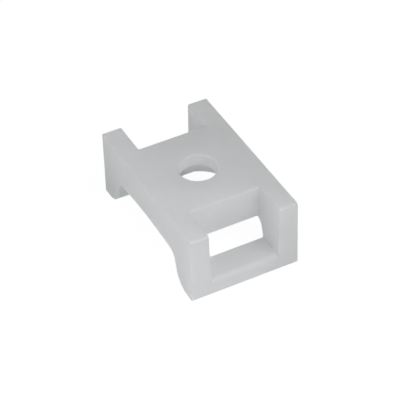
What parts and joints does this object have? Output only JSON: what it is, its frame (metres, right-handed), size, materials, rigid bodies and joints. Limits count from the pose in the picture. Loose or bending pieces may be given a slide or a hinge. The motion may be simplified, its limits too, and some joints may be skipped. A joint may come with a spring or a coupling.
{
  "type": "cable tie mount",
  "caption": "Saddle-shaped cable tie mount moulded in natural nylon, with a screw hole, a slot for the tie at each end and an arched cradle.",
  "frame": {"origin": "centre of the plane of the two feet, under the axis of the screw hole", "axes": "+X along the length, the way a tie runs through; +Y across the width; +Z from the feet to the flat mounting face"},
  "size_m": [0.026, 0.016, 0.0102],
  "materials": {
    "natural_nylon": "satin, translucent natural white"
  },
  "bodies": {
    "root": {"tie_mount": "natural_nylon"}
  },
  "joints": []
}
